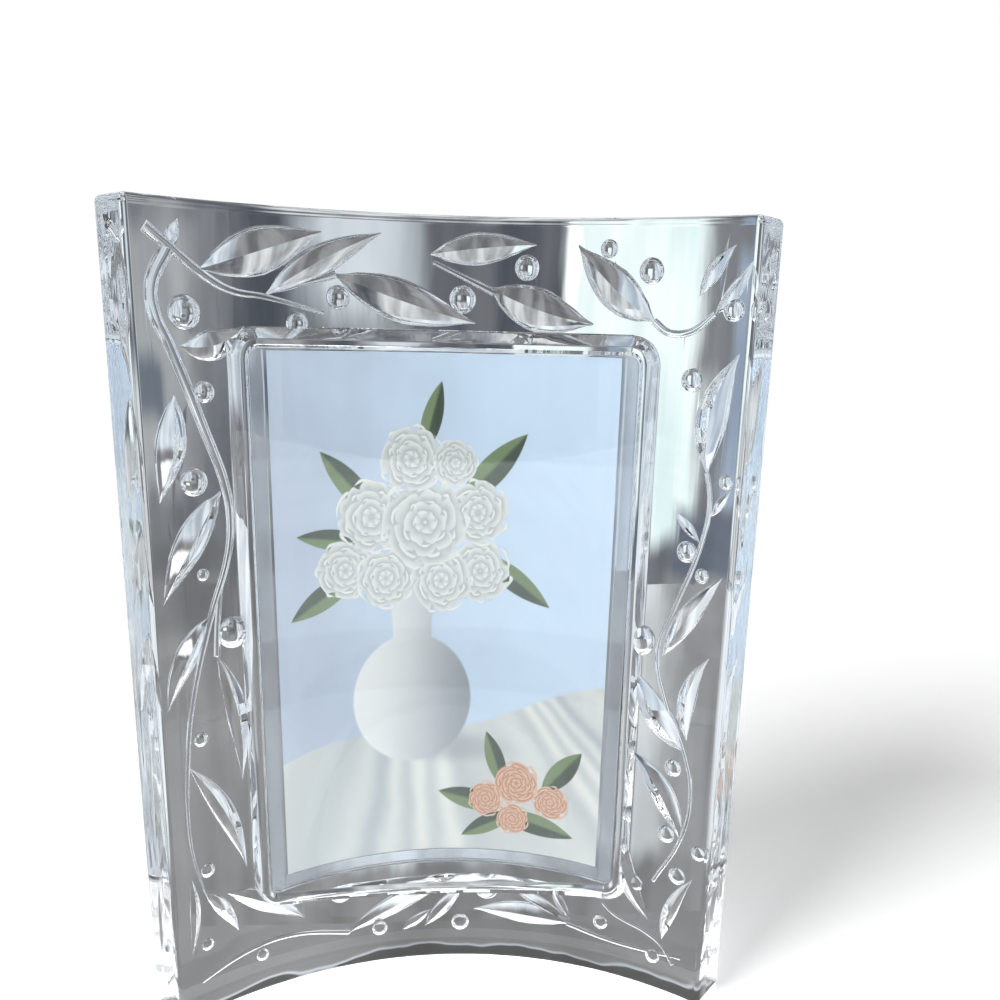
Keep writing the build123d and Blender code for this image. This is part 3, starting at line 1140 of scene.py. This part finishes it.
class Painter:
    """Lays shapes over each other on the print, in units of half its width from its lower left."""

    def __init__(self, tree: NodeTree) -> None:
        """Starts with bare paper.

        Args:
            tree: The tree of the print's material.
        """
        self.tree = tree
        uv = tree.node("ShaderNodeUVMap", uv_map="picture")
        along, up, _ = tree.parts(uv)
        width, height = 2, 3
        coarse, fine = 6.0, 17.0
        self.x, self.y = width * along, height * up
        self.grain = tree.noise(uv, coarse, 2.0) - 0.5
        self.ruffle = tree.noise(uv, fine, 1.0) - 0.5
        self.colour: Socket | Colour = (1.0, 1.0, 1.0)

    def lay(self, mask: Socket, colour: Socket | Colour) -> None:
        """Lays a colour over the picture where the mask is 1."""
        self.colour = self.tree.mix(mask, self.colour, colour)

    def turned(self, centre: Place, size: Place, turn: float) -> tuple[Socket, Socket]:
        """The place along and across a turned shape, each 1 at its edge.

        Args:
            centre: Its middle.
            size: Half its length and half its width.
            turn: How far it is turned.

        Returns:
            The place along it and the place across it.
        """
        right, up = self.x - centre[0], self.y - centre[1]
        along = (right * cos(turn) + up * sin(turn)) / size[0]
        across = (up * cos(turn) - right * sin(turn)) / size[1]
        return along, across

    def oval(self, centre: Place, size: Place) -> Socket:
        """The distance from an oval's middle, which is 1 at its edge."""
        along, across = self.turned(centre, size, 0.0)
        return (along * along + across * across) ** 0.5

    def leaf(self, centre: Place, size: Place, turn: float, dark: Colour, light: Colour) -> None:
        """Lays a leaf with a lighter upper half.

        Args:
            centre: Its middle.
            size: Half its length and half its width.
            turn: How far it is turned.
            dark: The colour of its lower half.
            light: The colour of its upper half.
        """
        along, across = self.turned(centre, size, turn)
        inside = (1.0 - along * along - across.abs()).step(-0.05, 0.08)
        self.lay(inside, self.tree.mix(across.step(-0.15, 0.2), dark, light))

    def blossom(
        self, centre: Place, radius: float, petals: int, dark: Colour, light: Colour, rings: int = 4
    ) -> None:
        """Lays a blossom of petals in rings, each smaller than the one behind it.

        Args:
            centre: Its middle.
            radius: Its radius.
            petals: How many petals a ring has.
            dark: The colour at the foot of a petal.
            light: The colour at its rim.
            rings: How many rings there are.
        """
        turn, ring_turn, ring_pace = 5 * centre[0], 1.9, 1.1
        ruffled_turn, ruffled_rim = 4.5, 0.20
        lobe_reach, lobe_shade = 0.24, 0.55
        right, up = self.x - centre[0], self.y - centre[1]
        angle = up.maths("ARCTAN2", right) * (petals / 2) + (turn + ruffled_turn * self.ruffle)
        far = (right * right + up * up) ** 0.5 / radius + ruffled_rim * self.ruffle
        lobes = (angle + ring_turn * (far * rings * ring_pace).maths("FLOOR")).maths("COSINE").abs()
        reach = far / (1 - lobe_reach + lobe_reach * lobes)
        shade = (reach * rings).maths("FRACT").step(-0.15, 0.85) * (1 - lobe_shade + lobe_shade * lobes)
        self.lay(reach.step(1.04, 0.97), self.tree.mix(shade, dark, light))


@dataclass(frozen=True)
class PictureFinish:
    """A still life on the print: white blossoms in a vase, peach roses and a draped cloth."""

    roughness: float = 0.25
    ivory: Colour = (0.93, 0.92, 0.87)
    ivory_shade: Colour = (0.50, 0.53, 0.53)
    peach: Colour = (0.90, 0.62, 0.42)
    peach_shade: Colour = (0.55, 0.20, 0.12)
    green: Colour = (0.20, 0.28, 0.12)
    green_shade: Colour = (0.05, 0.08, 0.04)
    wall: Colour = (0.70, 0.84, 1.00)
    wall_shade: Colour = (0.55, 0.62, 0.74)
    cloth_shade: Colour = (0.52, 0.56, 0.58)
    vase_light: Colour = (0.96, 0.96, 0.95)
    vase_shade: Colour = (0.33, 0.36, 0.40)
    vase_shadow: Colour = (0.36, 0.39, 0.42)

    def backdrop(self, paint: Painter) -> None:
        """The pale blue wall, greyer to the left.

        Args:
            paint: The picture's painter.
        """
        share = (paint.x * 0.5 + paint.y * 0.03 + 0.5 * paint.grain).step(0.0, 0.85)
        paint.colour = paint.tree.mix(share, self.wall_shade, self.wall)

    def cloth(self, paint: Painter) -> None:
        """The cloth on the table, with long folds that spread from under the vase.

        Args:
            paint: The picture's painter.
        """
        edge = 0.86 + 0.07 * (paint.x * 3.4 + 0.9).maths("SINE") + 0.22 * (paint.x - 1.0)
        spread = (paint.x - 0.80) / (1.9 - paint.y) + 0.10 * paint.grain
        folds = (spread * 30 + 4 * (spread * 7).maths("SINE")).maths("SINE") * 0.5 + 0.5
        soft = (spread * 9 + 0.6).maths("SINE") * 0.5 + 0.5
        shade = 0.55 * folds + 0.45 * soft
        paint.lay((paint.y - edge).step(0.012, -0.012), paint.tree.mix(shade, self.cloth_shade, self.ivory))
        paint.lay(0.55 * paint.oval((1.08, 0.68), (0.50, 0.13)).step(1.0, 0.2), self.vase_shadow)

    def vase(self, paint: Painter) -> None:
        """The white vase, round and narrow at the neck.

        Args:
            paint: The picture's painter.
        """
        middle, soft = 0.80, 0.01
        light = ((paint.x - middle) / 0.38 + 0.3 * paint.grain).step(1.2, -0.9)
        colour = paint.tree.mix(light, self.vase_shade, self.vase_light)
        half_neck = 0.12 + 0.6 * (paint.y - 1.42) ** 2
        neck = (half_neck - (paint.x - middle).abs()).step(-soft, soft)
        neck = neck * (paint.y - 1.25).step(-soft, soft) * (1.68 - paint.y).step(-soft, soft)
        for mask in (paint.oval((middle, 1.00), (0.37, 0.40)).step(1.02, 0.98), neck):
            paint.lay(mask, colour)

    def material(self) -> bpy.types.Material:
        """The picture's material, painted from the back to the front.

        Returns:
            The material.
        """
        material, tree = new_material("print_picture")
        paint = Painter(tree)
        self.backdrop(paint)
        self.cloth(paint)
        for centre, size, turn in (
            ((0.44, 2.28), (0.26, 0.07), 2.3),
            ((1.28, 2.36), (0.30, 0.08), 0.8),
            ((1.42, 1.74), (0.28, 0.07), -0.6),
            ((0.28, 1.66), (0.24, 0.07), 3.7),
            ((0.92, 2.64), (0.22, 0.06), 1.3),
            ((0.34, 1.98), (0.22, 0.06), 3.0),
        ):
            paint.leaf(centre, size, turn, self.green_shade, self.green)
        self.vase(paint)
        for centre, radius in (
            ((0.40, 1.80), 0.18),
            ((1.22, 1.78), 0.20),
            ((0.64, 1.74), 0.19),
            ((0.98, 1.72), 0.20),
            ((0.56, 2.10), 0.22),
            ((1.20, 2.12), 0.20),
            ((0.88, 2.06), 0.28),
            ((0.80, 2.42), 0.20),
            ((1.06, 2.40), 0.14),
        ):
            paint.blossom(centre, radius, 6, self.ivory_shade, self.ivory)
        for centre, size, turn in (
            ((1.18, 0.34), (0.22, 0.07), 2.9),
            ((1.76, 0.56), (0.20, 0.07), 0.9),
            ((1.60, 0.20), (0.26, 0.07), -0.2),
            ((1.34, 0.60), (0.20, 0.06), 1.9),
            ((1.30, 0.18), (0.20, 0.06), 3.6),
        ):
            paint.leaf(centre, size, turn, self.green_shade, self.green)
        for centre, radius in (
            ((1.28, 0.34), 0.12),
            ((1.46, 0.22), 0.11),
            ((1.70, 0.36), 0.12),
            ((1.48, 0.46), 0.15),
        ):
            paint.blossom(centre, radius, 5, self.peach_shade, self.peach, rings=5)
        tree.principled({"Base Color": paint.colour, "Roughness": self.roughness})
        return material


@dataclass(frozen=True)
class PaperFinish:
    """The white back of the print."""

    colour: Colour = (0.82, 0.82, 0.80)
    roughness: float = 0.6

    def material(self) -> bpy.types.Material:
        """The paper's material.

        Returns:
            The material.
        """
        material, tree = new_material("print_back")
        tree.principled({"Base Color": as_rgba(self.colour), "Roughness": self.roughness})
        return material


# The studio


class Side(Enum):
    """Which side of the room a card is, and so how a place on it is told."""

    BACK = "back"
    TABLE = "table"
    FOOT = "foot"
    FRONT = "front"
    CEILING = "ceiling"
    FLANK = "flank"


@dataclass(frozen=True)
class Patch:
    """A soft-edged patch on a card, in two tones.

    Attributes:
        across: Where it starts and ends across the card.
        up: Where it starts and ends up or along the card.
        dark: Its darker tone.
        light: Its lighter tone.
        soft: How wide its edges fade.
    """

    across: Place
    up: Place
    dark: Colour
    light: Colour
    soft: float = 0.012


# A card glows: its tones are the room's light and shade, painted on it for the glass to show, and it lights
# the print through the glass.
@dataclass(frozen=True)
class Card:
    """One side of the room that the glass shows, as the real frame shows the room it stood in.

    Only rays that glass or gloss sends on see it. A place on the back and on the table is told by
    its slope seen from EYE, so that a patch stands behind one part of the frame.

    Attributes:
        side: Which side of the room it is.
        corners: Its corners in order.
        dark: Its darker tone.
        light: Its lighter tone.
        patches: What lies on it, from the lowest layer to the highest.
        lights_print: How bright it is for the light that it sends to the print through the glass.
        glossy: Whether reflections show it.
    """

    side: Side
    corners: Corners
    dark: Colour
    light: Colour
    patches: tuple[Patch, ...] = ()
    lights_print: float = 4.1
    glossy: bool = True

    def places(self, tree: NodeTree) -> tuple[Socket, Socket]:
        """The places across and up the card.

        Args:
            tree: The card's tree.

        Returns:
            The place across it and the place up it.
        """
        x, y, z = tree.parts(tree.node("ShaderNodeTexCoord", out="Object"))
        slope = (x - EYE.x) / (y - EYE.y)
        return {
            Side.BACK: (slope, z),
            Side.TABLE: (slope, y),
            Side.FOOT: (x, (x * x + (y - RING_Y) ** 2) ** 0.5),
            Side.FRONT: (x, z),
            Side.CEILING: (x, y),
            Side.FLANK: (y, z),
        }[self.side]

    def material(self) -> bpy.types.Material:
        """The card's tones, streaked upright and broken up by a slow noise.

        Returns:
            The material.
        """
        material, tree = new_material(self.side.value)
        across, up = self.places(tree)
        place = tree.node("ShaderNodeCombineXYZ", {0: across, 1: STREAK_STRETCH * up})
        streaks = tree.noise(place, STREAKS, STREAK_DETAIL).step(*STREAK_CONTRAST)
        waver = tree.noise(place, WAVERS, WAVER_DETAIL) - 0.5
        colour = tree.mix(streaks, self.dark, self.light)
        for patch in self.patches:
            first, last = (across + WAVER_ACROSS * waver - edge for edge in patch.across)
            low, high = (up + WAVER_UP * waver - edge for edge in patch.up)
            mask = first.step(-patch.soft, patch.soft) * last.step(patch.soft, -patch.soft)
            mask = mask * low.step(-patch.soft, patch.soft) * high.step(patch.soft, -patch.soft)
            colour = tree.mix(mask, colour, tree.mix(streaks, patch.dark, patch.light))
        lighting = tree.node("ShaderNodeLightPath", out="Diffuse Depth").maths("MINIMUM", 1.0)
        colour = tree.mix(lighting, colour, (self.lights_print,) * 3)
        tree.output(tree.node("ShaderNodeEmission", {"Color": colour, "Strength": 1.0}))
        return material

    def build(self) -> None:
        """Sets the card up."""
        mesh = bpy.data.meshes.new(self.side.value)
        mesh.from_pydata(self.corners, [], [tuple(range(len(self.corners)))])
        mesh.materials.append(self.material())
        card = bpy.data.objects.new(self.side.value, mesh)
        bpy.context.collection.objects.link(card)
        card.visible_camera = card.visible_diffuse = card.visible_shadow = False
        card.visible_volume_scatter = False
        card.visible_glossy = self.glossy


# The streaks and the wavering edges of the cards: how many in one unit, how fine and how strong.
STREAKS, STREAK_DETAIL, STREAK_STRETCH, STREAK_CONTRAST = 17.0, 2.0, 0.22, (0.32, 0.68)
WAVERS, WAVER_DETAIL, WAVER_ACROSS, WAVER_UP = 24.0, 3.0, 0.05, 0.04

# How far the room reaches to the sides and to the front, to the back and up, where the table card
# meets the foot card, and how high these two lie above the floor.
REACH, BEHIND, TOP = 1.1, 0.46, 1.1
SEAM = 0.03
LEVEL = 0.4 * MM


def level_card(front: float, back: float, height: float) -> Corners:
    """The corners of a level card that is as wide as the room."""
    return ((-REACH, front, height), (REACH, front, height), (REACH, back, height), (-REACH, back, height))


def upright_card(first: Place, last: Place) -> Corners:
    """The corners of a card that stands between two places and is as high as the room."""
    return ((*first, 0), (*last, 0), (*last, TOP), (*first, TOP))


# The cards' tones are a darker and a lighter one each.
SLATE: tuple[Colour, Colour] = ((0.055, 0.065, 0.085), (0.17, 0.175, 0.19))
MINT: tuple[Colour, Colour] = ((0.72, 0.90, 0.90), (1.12, 1.18, 1.18))
PALE: tuple[Colour, Colour] = ((0.70, 0.80, 0.92), (1.08, 1.10, 1.12))
BACK_CARD = Card(
    Side.BACK,
    upright_card((-REACH, BEHIND), (REACH, BEHIND)),
    (0.15, 0.15, 0.155),
    (0.34, 0.34, 0.345),
    (
        Patch((-2.0, -0.32), (-1.0, 2.0), (0.36, 0.41, 0.47), (0.84, 0.91, 0.98), 0.03),
        Patch((-0.9, -0.33), (-1.0, 0.11), (0.10, 0.10, 0.11), (0.26, 0.26, 0.27), 0.02),
        Patch((-0.56, -0.42), (0.02, 0.075), (1.1, 1.1, 1.1), (1.2, 1.2, 1.2), 0.008),
        Patch((0.36, 2.0), (-1.0, 2.0), (0.42, 0.50, 0.60), (0.88, 0.95, 1.0), 0.03),
        Patch((-0.32, 0.36), (-1.0, 0.285), *SLATE, 0.025),
        Patch((-0.33, -0.232), (0.07, 0.25), (0.18, 0.185, 0.20), (0.38, 0.39, 0.40), 0.016),
        Patch((-0.36, -0.262), (0.117, 0.160), (0.06, 0.08, 0.11), (0.11, 0.13, 0.16), 0.012),
        Patch((-0.120, -0.005), (0.19, 0.275), (0.52, 0.57, 0.62), (0.74, 0.80, 0.84), 0.022),
        Patch((-0.150, 0.195), (-1.0, 0.155), (0.34, 0.35, 0.36), (0.82, 0.84, 0.86), 0.025),
        Patch((0.150, 0.290), (0.14, 0.270), *MINT),
        Patch((0.205, 0.297), (0.03, 0.16), *MINT),
        Patch((0.148, 0.156), (0.16, 0.262), (1.2, 1.2, 1.2), (1.3, 1.3, 1.3), 0.004),
        Patch((0.325, 0.36), (0.06, 0.24), (0.20, 0.26, 0.38), (0.38, 0.46, 0.58)),
        Patch((0.27, 0.37), (-0.1, 0.055), (0.04, 0.06, 0.10), (0.09, 0.11, 0.16)),
        Patch((-0.34, -0.17), (-0.1, 0.035), (0.06, 0.065, 0.075), (0.12, 0.125, 0.13)),
        Patch((-0.34, -0.14), (-1.0, 0.004), (0.11, 0.11, 0.115), (0.19, 0.19, 0.195), 0.009),
        Patch((0.26, 0.36), (-1.0, 0.004), (0.15, 0.15, 0.155), (0.30, 0.30, 0.31), 0.009),
    ),
    lights_print=0.8,
)
TABLE_CARD = Card(
    Side.TABLE,
    level_card(SEAM, BEHIND, LEVEL),
    (0.68, 0.72, 0.78),
    (1.04, 1.09, 1.14),
    (
        Patch((-0.62, -0.14), (-1.0, 1.0), (0.17, 0.17, 0.17), (0.29, 0.29, 0.295)),
        Patch((-0.34, -0.15), (0.33, 1.0), (0.11, 0.11, 0.115), (0.19, 0.19, 0.195), 0.03),
        Patch((0.19, 0.30), (-1.0, 1.0), (0.48, 0.50, 0.52), (0.72, 0.75, 0.77), 0.02),
        Patch((0.28, 0.45), (-1.0, 1.0), (0.16, 0.16, 0.165), (0.30, 0.30, 0.31), 0.02),
        # Painted shadow: a darker strip right behind the frame, for the frame's shadow on the table.
        Patch((-0.40, 0.50), (-1.0, 0.065), (0.13, 0.13, 0.13), (0.25, 0.25, 0.255)),
    ),
    lights_print=0.8,
)
FOOT_CARD = Card(
    Side.FOOT,
    level_card(-REACH, SEAM, LEVEL),
    (0.50, 0.55, 0.62),
    (0.98, 1.05, 1.12),
    (
        # Painted shade: a dark grey band under and around the glass, and a near-black one along its front
        # foot, for the frame's contact shadow on the table.
        Patch((-0.2, 0.2), (0.118, 0.210), (0.14, 0.14, 0.14), (0.26, 0.26, 0.265), 0.002),
        Patch((-0.1, 0.1), (0.100, 0.117), (0.03, 0.03, 0.03), (0.07, 0.07, 0.07), 0.001),
    ),
    lights_print=2.9,
    glossy=False,
)
FRONT_CARD = Card(
    Side.FRONT,
    upright_card((-REACH, -REACH), (REACH, -REACH)),
    (0.10, 0.10, 0.12),
    (0.34, 0.35, 0.38),
    (Patch((-0.5, -0.1), (0.5, 0.9), (0.7, 0.7, 0.7), (1.0, 1.0, 1.0), 0.05),),
)
CEILING_CARD = Card(
    Side.CEILING,
    level_card(-REACH, BEHIND, TOP),
    (0.06, 0.06, 0.07),
    (0.22, 0.22, 0.24),
)
FLANK_CARDS = [
    Card(
        Side.FLANK,
        upright_card((side * REACH, -REACH), (side * REACH, BEHIND)),
        *PALE,
        (Patch((-0.1, 1.0), (-1.0, 2.0), (0.38, 0.43, 0.50), (0.76, 0.82, 0.90), 0.05),),
        lights_print=3.6,
    )
    for side in (-1, 1)
]
CARDS = [BACK_CARD, TABLE_CARD, FOOT_CARD, FRONT_CARD, CEILING_CARD, *FLANK_CARDS]


@dataclass
class Studio:
    """The floor, the world, the lamp, the cards that the glass shows, and the camera.

    The floor and the world are white to the camera, gloss and glass, and light the frame less.
    """

    floor_size: float = 12.0
    floor_colour: Colour = (0.93, 0.93, 0.935)
    floor_gain: float = 0.34
    fill: float = 0.42
    key_strength: float = 2.2
    key_softness: float = radians(22)
    key_rise: float = radians(34)
    key_turn: float = radians(36)
    bounces: int = 24
    glossy_bounces: int = 12

    def white_for_sight(self, tree: NodeTree) -> Socket:
        """1 for rays from the camera and for those that gloss or glass sends on, else 0.

        Args:
            tree: The tree that it is for.

        Returns:
            The value.
        """
        kinds = ("Is Camera Ray", "Is Glossy Ray", "Is Transmission Ray")
        camera, glossy, through = (tree.node("ShaderNodeLightPath", out=kind) for kind in kinds)
        return camera.maths("MAXIMUM", glossy).maths("MAXIMUM", through)

    def world(self) -> None:
        """A white world that lights the frame softly."""
        world = bpy.data.worlds.new("studio")
        bpy.context.scene.world = world
        world.use_nodes = True
        tree = NodeTree(world.node_tree)
        strength = self.fill + (1 - self.fill) * self.white_for_sight(tree)
        shader = tree.node("ShaderNodeBackground", {"Color": as_rgba((1, 1, 1)), "Strength": strength})
        tree.output(shader, "ShaderNodeOutputWorld")

    def floor(self) -> None:
        """A large white floor."""
        bpy.ops.object.select_all(action="DESELECT")
        bpy.ops.mesh.primitive_plane_add(size=self.floor_size)
        floor = name_piece("floor")
        material, tree = new_material("floor")
        seen = tuple(tone * (1 + self.floor_gain) for tone in self.floor_colour)
        colour = tree.mix(self.white_for_sight(tree), self.floor_colour, seen)
        tree.output(tree.node("ShaderNodeBsdfDiffuse", {"Color": colour}))
        floor.data.materials.append(material)

    def key_lamp(self) -> None:
        """The lamp at the front left, which gives the soft shadow on the right."""
        lamp = bpy.data.lights.new("key", "SUN")
        lamp.energy, lamp.angle = self.key_strength, self.key_softness
        key = bpy.data.objects.new("key", lamp)
        bpy.context.collection.objects.link(key)
        level = cos(self.key_rise)
        aim = Vector((level * cos(self.key_turn), level * sin(self.key_turn), -sin(self.key_rise)))
        key.rotation_euler = aim.to_track_quat("-Z", "Y").to_euler()
        key.visible_glossy = key.visible_transmission = False

    def camera(self) -> None:
        """The camera, set to the photograph's point of view.

        Its focal length and its middle are in pixels of a picture 1000 pixels wide and high.
        """
        yaw, pitch, roll = 0.0958, 0.2612, 0.0251
        focal, middle, size = 988.36, (513.35, 587.49), 1000
        forward = Vector((sin(yaw) * cos(pitch), cos(yaw) * cos(pitch), -sin(pitch)))
        right = Vector((cos(yaw), -sin(yaw), 0))
        up = right.cross(forward)
        turned_right = cos(roll) * right + sin(roll) * up
        turned_up = -sin(roll) * right + cos(roll) * up
        data = bpy.data.cameras.new("camera")
        data.sensor_width = 36
        data.lens = focal * data.sensor_width / size
        data.shift_x = (size / 2 - middle[0]) / size
        data.shift_y = (middle[1] - size / 2) / size
        data.clip_start = 10 * MM
        camera = bpy.data.objects.new("camera", data)
        bpy.context.collection.objects.link(camera)
        turn = Matrix((turned_right, turned_up, -forward)).transposed().to_4x4()
        camera.matrix_world = Matrix.Translation(EYE) @ turn
        bpy.context.scene.camera = camera

    def build(self) -> None:
        """Sets up the whole studio."""
        scene = bpy.context.scene
        scene.view_settings.view_transform = "Standard"
        scene.cycles.max_bounces = scene.cycles.transmission_bounces = self.bounces
        scene.cycles.glossy_bounces = self.glossy_bounces
        self.world()
        self.floor()
        self.key_lamp()
        for card in CARDS:
            card.build()
        self.camera()


def dress(
    piece: bpy.types.Object, materials: list[bpy.types.Material], body: str, node: str
) -> None:
    """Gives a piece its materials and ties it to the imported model.

    Args:
        piece: The piece.
        materials: Its materials, in the order of its faces' numbers.
        body: The body that it rides on.
        node: The node that it stands for.
    """
    while len(piece.data.materials) < len(materials):
        piece.data.materials.append(None)
    for number, material in enumerate(materials):
        piece.data.materials[number] = material
    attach(piece, body)
    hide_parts(node)
    log.info("%s: %d faces, for %s on %s", piece.name, len(piece.data.polygons), node, body)


def main() -> None:
    """Builds the frame, dresses it and sets up the studio."""
    logging.basicConfig(level=logging.INFO, format="%(name)s: %(message)s")
    glass = Glass()
    curve = Curve(glass.back_radius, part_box("glass_body")[1].y - glass.back_radius)
    sleeve = Sleeve(curve)
    sheet_finish = ClearPlasticFinish("clear_sheet").material()
    strip_finish = ClearPlasticFinish("clear_strip", tint=(0.88, 0.91, 0.96), clearness=0.85).material()
    dress(glass.build(curve, sleeve), [GlassFinish().material()], "frame", "glass_body")
    dress(sleeve.front_sheet(), [sheet_finish], "frame", "sleeve_front_sheet")
    dress(sleeve.back_sheet(), [sheet_finish], "frame", "sleeve_back_sheet")
    for name, side in (("left", -1), ("right", 1)):
        strip = sleeve.side_strip(f"clear_{name}_strip", side)
        dress(strip, [strip_finish], "frame", f"sleeve_{name}_strip")
    dress(sleeve.bottom_strip(), [strip_finish], "frame", "sleeve_bottom_strip")
    picture = [PictureFinish().material(), PaperFinish().material()]
    dress(sleeve.print_sheet(), picture, "photo", "photo_print")
    Studio().build()


if __name__ == "__main__":
    main()
